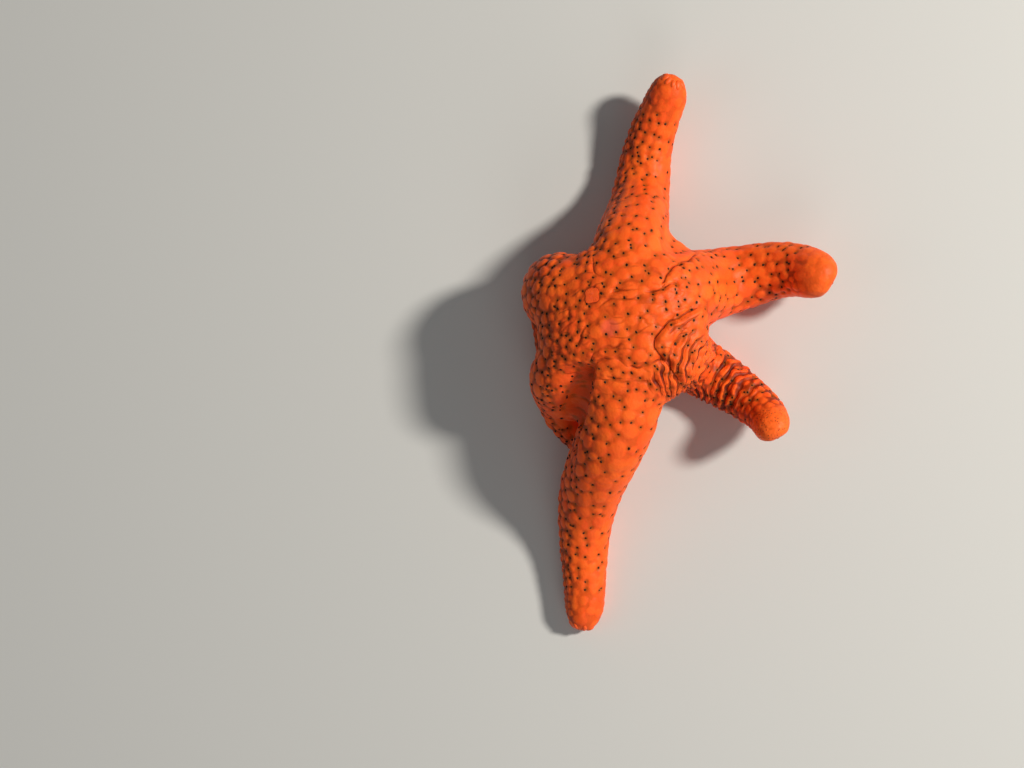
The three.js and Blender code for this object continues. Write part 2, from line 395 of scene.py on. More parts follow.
def isFree(point, size, crowding):
    for other in nearby(point, cells, plateLayout["cell"]):
        reach = crowding * (size + plates[other]["size"])
        if (plates[other]["point"] - point).length_squared < reach * reach:
            return False
    return True


def addPlate(point, normal, way, long, wide, kind):
    normal = normal.normalized()
    across = normal.cross(way).normalized()
    plates.append({
        "point": point, "normal": normal, "across": across, "way": across.cross(normal),
        "long": long, "wide": wide, "size": math.sqrt(long * wide), "kind": kindNames.index(kind),
        "tone": random.uniform(-1, 1), "relief": plateKinds[kind]["relief"] * random.uniform(0.75, 1.25),
    })
    cells.setdefault(cellOf(point, plateLayout["cell"]), []).append(len(plates) - 1)


def layBroadPlates():
    for x, y, size in plateLayout["broad"]:
        point, normal, _, _ = wallTree.ray_cast(Vector((x, y, 30)), Vector((0, 0, -1)))
        addPlate(point, normal, Vector((1, 0.3, 0)), size, size, "broad")


# The convex plate that ends each arm
def layTips():
    for arm in arms:
        at = arm["length"] - plateLayout["tipBack"]
        centre, upright = Vector(along(arm, "centre", at)), Vector(along(arm, "upright", at))
        point, normal, _, _ = wallTree.ray_cast(centre, upright, 4)
        if point is not None:
            size = plateLayout["tipSize"]
            addPlate(point, normal, Vector(along(arm, "along", at)), size, size, "plain")


def layRows():
    for arm in arms:
        kinds = plateRows[arm["name"]].items()
        rows = sorted((angle, spacing, kind) for kind, places in kinds for angle, spacing in places)
        for i, (angle, spacing, kind) in enumerate(rows):
            nextAngle = rows[(i + 1) % len(rows)][0] + (360 if i + 1 == len(rows) else 0)
            lastAngle = rows[i - 1][0] - (360 if i == 0 else 0)
            turn = math.radians(nextAngle - lastAngle) / 2
            s = plateLayout["rowsFrom"] + spacing * random.uniform(0, 1)
            while s < arm["length"] - plateLayout["rowsShort"]:
                half = float(halfWidth(arm, s))
                fit = float(np.clip(girth(arm, s) / plateLayout["usualHalf"], *plateLayout["rowFit"]))
                level = max(math.hypot(*along(arm, "along", s)[:2]), plateLayout["steepest"])
                step = spacing * fit * random.uniform(*plateLayout["rowVary"]) / level ** 0.8
                shift = plateLayout["jitter"]
                at = s + step * random.uniform(-shift, shift)
                lean = math.radians(angle) + turn * random.uniform(-shift, shift)
                centre = Vector(along(arm, "centre", at))
                ray = Vector(placed(arm, at, math.sin(lean), form["tall"] * math.cos(lean))) - centre
                reach = plateLayout["rowReach"] * half
                point, normal, _, _ = wallTree.ray_cast(centre, ray.normalized(), reach)
                s += step
                if point is None:
                    continue
                wide = max(turn * min(half, plateLayout["rowHalfMost"]) / 2, plateLayout["leastWide"])
                if isFree(point, math.sqrt(step / 2 * wide), plateLayout["crowding"]):
                    addPlate(point, normal, Vector(along(arm, "along", at)), step / 2, wide, kind)


# The disc, the corners between the arms and whatever the rows left open
def fillPlates():
    order = list(range(len(wall)))
    random.shuffle(order)
    for i in order[:plateLayout["tries"]]:
        point, normal = Vector(wall[i]), Vector(outward[i])
        vary = min(max(0.5 + 0.7 * noise.noise(point * 0.35) + random.uniform(-0.35, 0.35), 0), 1)
        size = plateLayout["discLeast"] + (plateLayout["discMost"] - plateLayout["discLeast"]) * vary
        if normal.z < -0.5 or abs(spot["angle"][i]) > 125:
            size *= plateLayout["lowSize"]
        elif normal.x < -0.15:
            size *= plateLayout["leftSize"]
        if not isFree(point, size, plateLayout["discCrowding"]):
            continue
        way = Vector(along(arms[spot["arm"][i]], "along", spot["s"][i]))
        kind = "plain" if normal.z > -0.3 else "low"
        addPlate(point, normal, way, size * random.uniform(0.9, 1.15), size * random.uniform(0.9, 1.15), kind)


layBroadPlates()
layTips()
layRows()
rowPlates = len(plates)
fillPlates()
print("plates:", rowPlates, "in rows,", len(plates) - rowPlates, "between them")


def treeOf(items):
    tree = KDTree(len(items))
    for i, item in enumerate(items):
        tree.insert(item["point"], i)
    tree.balance()
    return tree


def tableOf(field):
    return np.array([plate[field] for plate in plates])


# How deep each point lies in the three nearest plates, and how the soft bumps of all those round it
# run together
def readPlates(points):
    tree = treeOf(plates)
    near = np.array([[hit[1] for hit in tree.find_n(point, plateLayout["nearest"])] for point in points])
    offset = points[:, None] - tableOf("point")[near]
    size = tableOf("size")[near]
    far = np.sqrt(
        ((offset * tableOf("way")[near]).sum(2) / tableOf("long")[near]) ** 2
        + ((offset * tableOf("across")[near]).sum(2) / tableOf("wide")[near]) ** 2
        + ((offset * tableOf("normal")[near]).sum(2) / size) ** 2
    )
    blend = plateLayout["blend"]
    blended = blend * np.log(np.exp((1 - far ** 2) / blend).sum(1))
    order = far.argsort(1)
    return *(np.take_along_axis(values, order, 1)[:, :3] for values in (near, far, size)), blended


def noiseOf(points, size, seed):
    shift = Vector((seed * 7.3, seed * 3.1, seed * 5.7))
    return np.array([noise.noise(Vector(point) / size + shift) for point in points])


# The points are nudged about a little first, so that no plate has a drawn outline
nudge = np.stack([noiseOf(wall, plateLayout["warpSize"], seed) for seed in (11, 12, 13)], 1)
near, far, sizes, blended = readPlates(wall + plateLayout["warp"] * nudge)


def kindValue(field, which):
    return np.array([plateKinds[name][field] for name in kindNames])[tableOf("kind")[which]]


toEdge = (far[:, 1] - far[:, 0]) * (sizes[:, 0] + sizes[:, 1]) / 4
weights = 1 / (far + 0.3) ** 4
weights /= weights.sum(1)[:, None]
# the flanks on the side of arms 5 and 6, away from the key light, are the most beaded, and painted shade
# darkens their gaps
leftward = ease(0.1, 0.65, -outward[:, 0]) * ease(-0.4, 0.0, outward[:, 2])
crisp = np.clip((kindValue("crisp", near) * weights).sum(1) + 0.3 * leftward, 0, 1)
paintedGapShade = np.maximum((kindValue("dark", near) * weights).sum(1), 0.6 * leftward)
softBump = np.clip(blended, -0.2, 1)
crispBump = ease(0.0, 0.26, toEdge) * (0.5 + 0.5 * np.clip(1 - far[:, 0] ** 2, 0, 1))
pillow = (1 - crisp) * softBump + crisp * crispBump
plateMask = (1 - crisp) * ease(-0.15, 0.5, blended) + crisp * ease(0.02, 0.24, toEdge)
tone = (tableOf("tone")[near] * weights).sum(1)
print("plates read")


# Folds of the disc: each a line of a few points in plan, its depth and its width, and how far the
# skin bulges on one side of it (the left as the line runs, or the right if below 0)
folds = [
    {"line": [(6.6, 7.0), (5.9, 6.3), (5.0, 5.2), (4.2, 4.3)], "depth": 0.22, "wide": 0.16, "bulge": 0.08},
    {"line": [(5.8, 4.2), (4.4, 3.8), (3.0, 3.3), (1.4, 3.5), (0.0, 3.3)],
     "depth": 0.2, "wide": 0.16, "bulge": 0.08},
    {"line": [(2.6, 2.9), (1.2, 2.5), (-0.4, 2.6), (-1.4, 1.9)], "depth": 0.12, "wide": 0.16, "bulge": 0.05},
    {"line": [(-1.2, 4.6), (-1.9, 5.2), (-2.3, 6.0), (-2.3, 7.0)], "depth": 0.12, "wide": 0.2, "bulge": 0},
    {"line": [(-1.9, 0.5), (-2.8, 0.1), (-3.1, -0.8), (-3.6, -1.5)],
     "depth": 0.1, "wide": 0.17, "bulge": 0.08},
    {"line": [(0.6, -1.6), (-0.8, -2.0), (-1.9, -2.5), (-2.2, -3.0)],
     "depth": 0.14, "wide": 0.17, "bulge": 0.06},
    {"line": [(4.8, -3.2), (4.1, -3.3), (3.1, -3.75), (2.2, -3.8), (1.6, -3.5)],
     "depth": 0.22, "wide": 0.22, "bulge": -0.1},
    {"line": [(1.2, -3.5), (0.2, -3.1), (-0.9, -3.0), (-1.7, -3.3)], "depth": 0.12, "wide": 0.22, "bulge": 0},
    {"line": [(3.4, -4.9), (2.2, -5.3), (0.8, -5.1), (-0.6, -4.8)],
     "depth": 0.1, "wide": 0.17, "bulge": 0.06},
    # the crease round the root of arm 3, which bulges over it, and a fainter one inside its upper part
    {"line": [(7.4, 1.9), (6.5, 1.15), (5.2, 0.35), (4.3, -0.35), (3.8, -1.2), (3.85, -2.0), (4.35, -2.85),
              (5.0, -3.8), (5.7, -4.8)],
     "depth": 0.26, "wide": 0.3, "bulge": 0.22, "lineShare": 1},
    {"line": [(7.6, 1.0), (6.6, 0.35), (5.7, -0.2), (5.0, -0.8)],
     "depth": 0.08, "wide": 0.25, "bulge": 0, "lineShare": 0.7},
]
foldForm = {"wobble": 0.35, "wobbleSize": 1.3, "swellAway": 0.75, "swellWide": 0.55, "lineWide": (0.16, 0.27)}

# Arm 4's root stands up over the root of arm 5 beside it, which is sunk below this line
shelf = {
    "line": [(-0.6, -2.9), (-1.7, -3.6), (-2.3, -5.0), (-2.9, -6.8), (-3.6, -9.0)],
    "depth": 1.7, "wide": 3.4, "lip": 0.5,
}


# How far each point is from a line, on which side of it, and whether it lies past either end
def awayFrom(line, points):
    least = np.full(len(points), np.inf)
    side = np.zeros(len(points))
    isPast = np.zeros(len(points), bool)
    for a, b in zip(line, line[1:]):
        a, b = np.array(a), np.array(b)
        offset = points - a
        share = (offset @ (b - a)) / ((b - a) @ (b - a))
        t = np.clip(share, 0, 1)
        away = np.linalg.norm(offset - t[:, None] * (b - a), axis=1)
        closer = away < least
        least[closer] = away[closer]
        side[closer] = np.sign((b - a)[0] * offset[:, 1] - (b - a)[1] * offset[:, 0])[closer]
        isPast[closer] = ((share < 0) & (tuple(a) == line[0]) | (share > 1) & (tuple(b) == line[-1]))[closer]
    return least, side, isPast


wobble = np.stack([noiseOf(wall, foldForm["wobbleSize"], seed) for seed in (1, 2)], 1) * foldForm["wobble"]
plan = wall[:, :2] + wobble
isTop = ease(0.0, 0.35, outward[:, 2])
patchy = noiseOf(wall, 0.9, 9)
foldAway = np.full(len(wall), 1.0)
foldShare = np.zeros(len(wall))
sunk = np.zeros(len(wall))
for fold in folds:
    away, side, isPast = awayFrom(fold["line"], plan)
    valley = np.exp(-(away / fold["wide"]) ** 2)
    swell = np.exp(-((away - foldForm["swellAway"]) / foldForm["swellWide"]) ** 2)
    swell *= side * fold["bulge"] > 0
    uneven = isTop * np.clip(0.75 + (0.4 if "lineShare" in fold else 1.1) * patchy, 0.05, 1.2)
    sunk += uneven * fold["depth"] * valley - isTop * abs(fold["bulge"]) * swell
    # drawn is how strongly painted shade darkens the bottom of the fold
    drawn = fold.get("lineShare", min(1, fold["depth"] / 0.3)) * ~isPast
    drawn = drawn * (1 - ease(*foldForm["lineWide"], away))
    closer = away < np.abs(foldAway)
    foldAway[closer] = (away * np.where(side < 0, -1, 1))[closer]
    foldShare[closer] = (uneven * drawn)[closer]
away, side, _ = awayFrom(shelf["line"], wall[:, :2])
above = ease(-0.2, 0.5, outward[:, 2]) * (1 - ease(-4.8, -2.9, wall[:, 1]))
shelfDrop = above * ease(-shelf["lip"] / 2, shelf["lip"], -side * away) * np.exp(-(away / shelf["wide"]) ** 2)
sunk += shelf["depth"] * shelfDrop

# Ribs that run across arm 3 in wavy arcs, by the distance in plan along it. Where its back drops steeply
# from the disc, between these heights, a few more follow one below the other
ribs = {
    "from": 5.0, "fullFrom": 5.9, "fadeFrom": 10.5, "to": 15, "turn": -3, "middle": 0.3, "aside": 3.9,
    "apart": 0.84, "depth": 0.26, "arc": 0.11, "wave": 0.55, "lean": 0.45,
    "steepFrom": 11.5, "steepTo": 3.7, "steepCount": 3,
}
heading = math.radians(arms[2]["heading"] + ribs["turn"])
out = wall[:, 0] * math.cos(heading) + wall[:, 1] * math.sin(heading)
aside = wall[:, 1] * math.cos(heading) - wall[:, 0] * math.sin(heading) - ribs["middle"]
lean = ribs["lean"] * (1 - ease(6.5, 12, out))
isOuter = ease(7.9, 8.6, out)
dropped = np.clip((ribs["steepFrom"] - wall[:, 2]) / (ribs["steepFrom"] - ribs["steepTo"]), 0, 1)
dropped = dropped * (1 - isOuter) + isOuter
ribPhase = (out - ribs["arc"] * aside ** 2 + lean * aside) / ribs["apart"] + ribs["steepCount"] * dropped
ribPhase += ribs["wave"] * noiseOf(wall, 1.8, 3) + 0.3 * noiseOf(wall, 0.8, 4)
inStretch = ease(ribs["from"], ribs["fullFrom"], out) * (1 - ease(ribs["fadeFrom"], ribs["to"], out))
ahead = outward[:, 0] * math.cos(heading) + outward[:, 1] * math.sin(heading)
onBack = np.maximum(ease(0.1, 0.5, outward[:, 2] + 0.35 * isOuter), ease(0.35, 0.8, ahead))
ribbed = inStretch * (1 - ease(0.7, 1.0, np.abs(aside) / ribs["aside"])) * onBack
ribShare = ribbed * np.clip(1.05 + 0.7 * noiseOf(wall, 1.5, 5), 0.35, 1.2)
sunk += ribs["depth"] / 2 * np.cos(2 * math.pi * ribPhase) * ribShare
print("folds laid")


# Pores stand at the corners between three plates on the upper side, single or in pairs, and a few more
# on open ground. Both kinds keep apart, and the ends of the arms are bare of them
pore = {
    "radius": 0.155, "apart": 0.62, "cornerGround": 0.6, "cornerSpread": 0.45,
    "openApart": 0.85, "ground": 0.3, "pairShare": 0.1, "pairApart": 0.34, "cell": 1,
    "onDisc": 6.5, "discShare": 0.75,
    "bareTip": {"arm_5": 1.4, "arm_6": 1.4}, "usualBareTip": 4.2,
    "pit": 0.1, "pitRadius": 0.17, "halo": 0.3, "ball": 0.9, "flat": 0.5,
}


def poreAt(i):
    point, normal = Vector(wall[i]), Vector(outward[i])
    onDisc = planRadius[i] < pore["onDisc"]
    way = normal.cross(Vector((random.uniform(-1, 1), random.uniform(-1, 1), random.uniform(-1, 1))))
    if onDisc:
        way = normal.cross(Vector((-1, 1.6, 0))).normalized().cross(normal) + way.normalized() * 0.3
    return {
        "point": point, "normal": normal, "way": way.normalized(),
        "slim": random.uniform(1.1, 1.6) if onDisc else random.uniform(1, 1.2),
        "size": pore["radius"] * random.uniform(0.75, 1.15),
    }


# How likely a point is to have a pore, by the plates round it and how far down the side it is
def poreShares():
    share = kindValue("pores", near).mean(1) * (1 - ease(80, 118, np.abs(spot["angle"])))
    onDisc = planRadius < pore["onDisc"]
    share[onDisc] = pore["discShare"] * ease(-0.1, 0.3, outward[:, 2])[onDisc]
    bare = np.array([pore["bareTip"].get(arm["name"], pore["usualBareTip"]) for arm in arms])[spot["arm"]]
    bare = bare * (1 + 0.15 * noiseOf(wall, 1.0, 10))
    return share * (spot["fromTip"] > bare) * (bedAway > 1.15)


def findPores():
    triple = np.sort(near, 1).astype(np.int64)
    count = len(plates)
    key = (triple[:, 0] * count + triple[:, 1]) * count + triple[:, 2]
    spread = far[:, 2] - far[:, 0]
    order = np.lexsort((spread, key))
    corners = [
        i for i in order[np.unique(key[order], return_index=True)[1]]
        if spread[i] < pore["cornerSpread"] and plateMask[i] < pore["cornerGround"]
    ]
    openGround = [i for i in range(0, len(wall), 3) if plateMask[i] < pore["ground"]]
    random.shuffle(corners)
    random.shuffle(openGround)
    shares = poreShares()
    found = []
    grid = {}

    def isClear(point, least):
        return all((point - other).length >= least for other in nearby(point, grid, pore["cell"]))

    def add(item):
        found.append(item)
        grid.setdefault(cellOf(item["point"], pore["cell"]), []).append(item["point"])

    for places, apart in ((corners, pore["apart"]), (openGround, pore["openApart"])):
        for i in places:
            if random.random() > shares[i] or not isClear(Vector(wall[i]), apart * random.uniform(0.85, 1.2)):
                continue
            item = poreAt(i)
            add(item)
            if random.random() < pore["pairShare"]:
                side = item["point"] + item["way"] * pore["pairApart"] * random.uniform(0.9, 1.2)
                add({**item, "point": side, "size": item["size"] * 0.85})
    return found


pores = findPores()
poreTree = treeOf(pores)
poreAway = np.array([poreTree.find(point)[2] for point in wall])
poreHalo = np.exp(-(poreAway / pore["halo"]) ** 2)
sunk += pore["pit"] * np.exp(-(poreAway / pore["pitRadius"]) ** 2)
print("pores:", len(pores))


# The underside: a groove under each arm, told in shares of the arm's half width, and the mouth's hollow
under = {
    "grooveFrom": (0.6, 2.4), "grooveShort": (1.1, 2.4), "floor": 0.15, "edge": 0.34, "depth": 0.42,
    "mouthFrom": 1.15, "mouthRim": 2.1, "mouthRoof": 8.2, "mouthBelow": 9,
}
grooveRun = ease(*under["grooveFrom"], spot["s"]) * ease(*under["grooveShort"], spot["fromTip"])
acrossShare = np.abs(spot["across"]) / spot["half"]
isUnder = ease(0.35, 0.55, -spot["up"] / (form["tall"] * spot["half"])) * ease(-0.25, 0.05, -outward[:, 2])
grooveDeep = grooveRun * isUnder * (1 - ease(under["floor"], under["edge"], acrossShare))
uprights = np.zeros_like(wall)
for number, arm in enumerate(arms):
    mine = spot["arm"] == number
    uprights[mine] = along(arm, "upright", spot["s"][mine])
oralMask = isUnder * (1 - ease(0.3, 0.62, acrossShare)) * ease(0.6, 3.0, spot["fromTip"])

# How far back from its end each arm is set with granules, and how strongly they show
granules = {
    "arm_1": (1.1, 0.4), "arm_2": (2.8, 0.35), "arm_3": (3.3, 0.85),
    "arm_4": (1.0, 0.3), "arm_5": (1.8, 0.4), "arm_6": (1.8, 0.4),
}
reach, strength = np.array([granules[arm["name"]] for arm in arms])[spot["arm"]].T
nearTip = 1 - ease(0.6, 1.0, spot["fromTip"] / (reach * (1 + 0.25 * noiseOf(wall, 1.1, 14))))
tipMask = strength * nearTip * (1 - 0.6 * oralMask)

# The plates' height, less where the skin is calm, and then everything that sinks or lifts the skin
calm = (1 - 0.75 * oralMask) * (1 - 0.7 * ribbed) * (1 - 0.85 * nearTip)
calm *= (1 - 0.8 * shelfDrop) * (1 - bedShare)
height = tableOf("relief")[near[:, 0]] * (pillow - 0.5) * calm * (0.45 + 0.55 * ease(1, 7, spot["fromTip"]))
height += 0.05 * noiseOf(wall, 3.5, 6) + 0.02 * noiseOf(wall, 0.7, 7)
shaped = wall + outward * (height - sunk)[:, None]
shaped += uprights * (under["depth"] * spot["half"] * grooveDeep)[:, None]
bedRise = (shaped - bedMiddle) @ bedFacing + madreporite["sunk"]
shaped -= bedFacing * (bedRise * bedShare)[:, None]
isMouth = 1 - ease(under["mouthFrom"], under["mouthRim"], planRadius)
isMouth *= (wall[:, 2] < under["mouthBelow"]) * (outward[:, 2] < 0.5)
shaped[:, 2] += isMouth * np.maximum(0, under["mouthRoof"] - shaped[:, 2])
shaped[:, 2] = np.maximum(shaped[:, 2], 0)
oralMask = np.maximum(oralMask, isMouth)

# The trough beside arm 4's root has calm plates, and a fine line of painted shade runs round the madreporite
trough = np.clip(1.4 * shelfDrop, 0, 1)
bedShadeLine = np.exp(-((bedAway - 1.12) * madreporite["radius"] / madreporite["outline"]) ** 2)
bedShadeLine *= wall[:, 2] > form["discHeight"]
plateMask = plateMask * (1 - trough) + 0.6 * trough
pinkMask = (1 - ease(0.5, 1.25, np.hypot(wall[:, 0] + 0.3, (wall[:, 1] + 0.1) * 1.1))) * isTop

# What the skin's material reads at each point. The pink mask is a soft patch at the middle of the disc
skinMasks = {
    "plate": plateMask * (1 - bedShare) + bedShare * (1 - bedShadeLine),
    "tone": tone,
    # paintedGapShade is painted shade in the gaps between plates, strongest on the flanks away from the key
    # light, and in a line round the madreporite
    "paintedGapShade": np.maximum(paintedGapShade * (1 - bedShare), 0.75 * bedShadeLine) * (1 - nearTip) * (1 - trough),
    "discBack": isTop * (1 - ease(6, 9, planRadius)),
    "foldAway": foldAway, "foldShare": foldShare, "ribPhase": ribPhase, "ribShare": ribShare,
    "tip": tipMask, "pink": pinkMask, "oral": oralMask, "poreHalo": poreHalo,
}
wallMesh.vertices.foreach_set("co", shaped.astype(np.float32).ravel())
for name, values in skinMasks.items():
    wallMesh.attributes.new(name, "FLOAT", "POINT").data.foreach_set("value", values.astype(np.float32))
wallMesh.transform(toFrame)
wallMesh.shade_smooth()
skin = bpy.data.objects.new("skin", wallMesh)
world.link(skin)
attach(skin, "root")
flesh = ["disc"] + [f"{arm['name']}_{length}" for arm in arms for length in ("base", "middle", "tip")]
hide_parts(*flesh)
shapedTree = BVHTree.FromPolygons([tuple(point) for point in shaped], faces)
print("skin:", len(wallMesh.polygons) * 2, "triangles")


# Small pieces, each many copies of one simple shape joined into a mesh that stays above the floor

def joinCopies(name, shape, places):
    bm = bmesh.new()
    for place in places:
        copy = shape.copy()
        copy.transform(place)
        bm.from_mesh(copy)
        bpy.data.meshes.remove(copy)
    for vert in bm.verts:
        vert.co.z = max(vert.co.z, 0)
    return pieceOf(bm, name)


# A matrix that stands a shape at a point, with its z along the normal and its x near the way
def standing(point, normal, way, scale=(1, 1, 1)):
    z = normal.normalized()
    y = z.cross(way).normalized()
    x = y.cross(z)
    turn = Matrix((x, y, z)).transposed().to_4x4()
    return Matrix.Translation(point) @ turn @ Matrix.Diagonal((*scale, 1))


def ballShape():
    bm = bmesh.new()
    bmesh.ops.create_uvsphere(bm, u_segments=8, v_segments=5, radius=1)
    return meshOf(bm, "ball")


# A column that goes up by steps, each so long and so much wider or narrower than the one before
def columnShape(name, sides, steps):
    bm = bmesh.new()
    foot = bmesh.ops.create_circle(bm, cap_ends=True, segments=sides, radius=1)["verts"]
    end = foot[0].link_faces[0]
    for number, (rise, grow) in enumerate(steps):
        verts, end = extrudeEnd(bm, end, number == 0)
        bmesh.ops.scale(bm, verts=verts, vec=(grow, grow, 1))
        bmesh.ops.translate(bm, verts=verts, vec=(0, 0, rise))
    bmesh.ops.recalc_face_normals(bm, faces=bm.faces)
    return meshOf(bm, name)


# The soft gills that fill the pores
def makePapulae():
    places = []
    for item in pores:
        point, normal, _, _ = shapedTree.find_nearest(item["point"])
        size = item["size"] * pore["ball"]
        scale = (size * item["slim"], size / item["slim"] ** 0.5, size * pore["flat"])
        places.append(standing(point - normal * size * 0.1, normal, item["way"], scale))
    return joinCopies("papulae", ballShape(), places)


papulae = makePapulae()
print("papulae:", len(papulae.data.polygons), "faces")


# The short ridges that fan out round the ends of some arms
fan = {
    "counts": {"arm_1": 6, "arm_4": 4, "arm_5": 5, "arm_6": 5},
    "back": 0.5, "reach": 82, "long": 0.5, "wide": 0.3, "high": 0.2, "deep": 0.1,
}


def makeTipRidges():
    places = []
    for arm in arms:
        count = fan["counts"].get(arm["name"], 0)
        at = arm["length"] - fan["back"]
        way = Vector(along(arm, "along", at - 1))
        centre = Vector(along(arm, "centre", at - 0.6))
        for k in range(count):
            turn = math.radians(fan["reach"] * (2 * k / (count - 1) - 1) * random.uniform(0.92, 1.08))
            ray = Vector(placed(arm, at, math.sin(turn), form["tall"] * math.cos(turn))) - centre
            point, normal, _, _ = shapedTree.ray_cast(centre, ray.normalized(), 4)
            if point is not None:
                long, wide = fan["long"] * random.uniform(0.85, 1.15), fan["wide"] * random.uniform(0.85, 1.1)
                places.append(standing(point - normal * fan["deep"], normal, way, (long, wide, fan["high"])))
    return joinCopies("tipRidges", ballShape(), places)


tipRidges = makeTipRidges()
print("tip ridges:", len(tipRidges.data.polygons), "faces")


# A flat disc of rings, whose last ring leaves a small face at its middle
def ringedDisc(segments, radius, rings, middle):
    bm = bmesh.new()
    circle = bmesh.ops.create_circle(bm, cap_ends=True, segments=segments, radius=radius)
    face = circle["verts"][0].link_faces[0]
    for _ in range(rings):
        thickness = radius / (rings + middle)
        bmesh.ops.inset_region(bm, faces=[face], thickness=thickness, use_boundary=True, use_even_offset=True)
    return bm


# The madreporite: fine grooves wander out from its middle over a low dome, and its rim is sharp
def makeMadreporite():
    values = madreporite
    bm = ringedDisc(values["grooves"] * 6, values["radius"], values["rings"], 1.5)
    rim = [edge for edge in bm.edges if edge.is_boundary]
    for edge in rim:
        edge.smooth = False
    skirt = bmesh.ops.extrude_edge_only(bm, edges=rim)["geom"]
    skirtVerts = {item for item in skirt if isinstance(item, bmesh.types.BMVert)}
    for vert in bm.verts:
        angle = math.atan2(vert.co.y, vert.co.x)
        share = min(vert.co.xy.length / values["radius"], 1)
        squarer = 1 - values["corner"] * math.cos(values["sides"] * angle)
        squarer -= values["lopsided"] * math.cos(2 * angle + 1)
        groove = math.sin(values["grooves"] * angle + 5 * noise.noise(vert.co * 3.2))
        groove *= min(1, 5 * share * (1.05 - share))
        vert.co.xy *= squarer
        vert.co.z = values["proud"] * (1.6 - share ** 5) + values["grooveDeep"] * groove
        if vert in skirtVerts:
            vert.co.z = -values["thick"]
    bmesh.ops.recalc_face_normals(bm, faces=bm.faces)
    bm.transform(standing(Vector(bedMiddle), Vector(bedFacing), Vector((1, 0.12, 0))))
    piece = pieceOf(bm, "madreporitePlate")
    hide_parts("madreporite")
    return piece


madreporitePlate = makeMadreporite()
print("madreporite:", len(madreporitePlate.data.polygons), "faces")


# The mouth: a thin puckered membrane round a small opening
mouthForm = {
    "radius": 1.62, "level": 8.05, "opening": 0.34, "deep": 0.5, "rings": 9, "lip": 0.12, "lipWide": 0.18,
    "puckers": 18, "pucker": 0.05, "puckerAt": 0.6, "puckerWide": 0.5,
}


def makeMouth():
    values = mouthForm
    bm = ringedDisc(values["puckers"] * 4, values["radius"], values["rings"], 1.2)
    for vert in bm.verts:
        radius, angle = vert.co.xy.length, math.atan2(vert.co.y, vert.co.x)
        lip = values["lip"] * math.exp(-((radius - values["opening"]) / values["lipWide"]) ** 2)
        inner = values["deep"] * (1 - ease(values["opening"] * 0.4, values["opening"], radius))
        pucker = values["pucker"] * math.cos(values["puckers"] * angle + 2 * noise.noise(vert.co * 1.5))
        pucker *= math.exp(-((radius - values["puckerAt"]) / values["puckerWide"]) ** 2)
        vert.co.z = values["level"] + inner - lip + pucker
    for surface in bm.faces:
        if surface.normal.z > 0:
            surface.normal_flip()
    piece = pieceOf(bm, "mouthMembrane")
    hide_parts("mouth")
    return piece


# Jaws between the grooves, each with a few spines that lean in over the mouth
jaw = {
    "out": 1.78, "level": 7.3, "long": 0.5, "wide": 0.5, "high": 0.42, "spines": 4, "fan": 48,
    "spineLong": 0.72, "spineWide": 0.1, "spineOut": 1.5, "spineBelow": 0.12, "spineAside": 0.3, "dip": 0.25,
}


def makeJaws():
    headings = sorted(arm["heading"] % 360 for arm in arms)
    jaws, spines = [], []
    for one, other in zip(headings, headings[1:] + [headings[0] + 360]):
        angle = math.radians((one + other) / 2)
        out, up = Vector((math.cos(angle), math.sin(angle), 0)), Vector((0, 0, 1))
        size = (jaw["long"], jaw["wide"], jaw["high"])
        jaws.append(standing(out * jaw["out"] + up * jaw["level"], up, out, size))
        for k in range(jaw["spines"]):
            share = k / (jaw["spines"] - 1) - 0.5
            lean = Matrix.Rotation(math.radians(jaw["fan"] * share), 3, "Z") @ -out - up * jaw["dip"]
            foot = out * jaw["spineOut"] + out.cross(up) * jaw["spineAside"] * share * 2
            foot += up * (jaw["level"] - jaw["spineBelow"])
            scale = (jaw["spineWide"], jaw["spineWide"], jaw["spineLong"] * random.uniform(0.85, 1.1))
            spines.append(standing(foot, lean, up, scale))
    return joinCopies("mouthJaws", ballShape(), jaws), spines


# Two rows of short blunt spines stand along each side of every groove, where they clear the floor
spineRows = [
    {"across": 0.36, "lean": 0.35, "long": 0.62, "wide": 0.1, "step": 0.56},
    {"across": 0.52, "lean": -0.25, "long": 0.42, "wide": 0.12, "step": 0.7},
]
spineForm = {
    "steps": [(0.6, 0.85), (0.28, 0.72), (0.12, 0.45)], "sides": 7,
    "from": 2.3, "short": 2.6, "usualHalf": 2.6, "sway": 0.12, "root": 0.08, "reach": 0.5, "clear": 0.03,
    "lowest": 0.14, "outerLowest": 0.5,
}


def makeSpines(spines):
    for arm in arms:
        for row in spineRows:
            for sign in (-1, 1):
                s = spineForm["from"]
                while s < arm["length"] - spineForm["short"]:
                    half = float(along(arm, "half", s))
                    sole = -form["sole"] * form["tall"] * half
                    guess = Vector(placed(arm, s, sign * row["across"] * half, sole))
                    point, _, _, away = shapedTree.find_nearest(guess)
                    inward = Vector(along(arm, "sideways", s)) * -sign
                    down = -Vector(along(arm, "upright", s))
                    fit = min(half / spineForm["usualHalf"], 1) * random.uniform(0.85, 1.1)
                    sway = random.uniform(-spineForm["sway"], spineForm["sway"])
                    lean = (down + inward * (row["lean"] + sway)).normalized()
                    if point.z + lean.z * row["long"] * fit < spineForm["clear"]:
                        lean = (inward + Vector((0, 0, 0.05))).normalized()
                    s += row["step"] * random.uniform(0.9, 1.1)
                    lowest = spineForm["outerLowest" if row["lean"] < 0 else "lowest"]
                    if away <= spineForm["reach"] and point.z >= lowest:
                        way = Vector(along(arm, "along", s))
                        scale = (row["wide"], row["wide"], row["long"] * fit)
                        spines.append(standing(point - lean * spineForm["root"], lean, way, scale))
    return joinCopies("grooveSpines", columnShape("spine", spineForm["sides"], spineForm["steps"]), spines)


